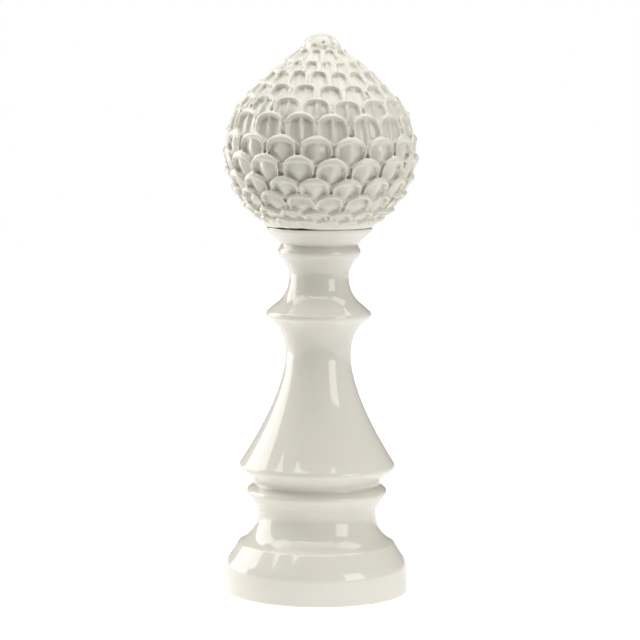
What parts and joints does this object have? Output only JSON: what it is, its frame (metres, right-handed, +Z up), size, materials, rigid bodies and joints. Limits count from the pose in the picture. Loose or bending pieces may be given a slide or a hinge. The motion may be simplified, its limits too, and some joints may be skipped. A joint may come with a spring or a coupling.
{
  "type": "artichoke finial",
  "caption": "Glazed ceramic artichoke with overlapping scales, resting on a tall turned pedestal with a round foot.",
  "frame": {"origin": "centre of the foot, on the surface that the finial stands on", "axes": "+Z up along the turning axis, -Y towards the picture's side"},
  "size_m": [0.1922, 0.1923, 0.55],
  "materials": {
    "pedestal_glaze": "glossy warm off-white glaze over turned ceramic",
    "head_glaze": "glossy warm off-white glaze, thicker in the hollows of the scales"
  },
  "bodies": {
    "root": {"pedestal": "pedestal_glaze", "artichoke_head": "head_glaze"}
  },
  "joints": []
}
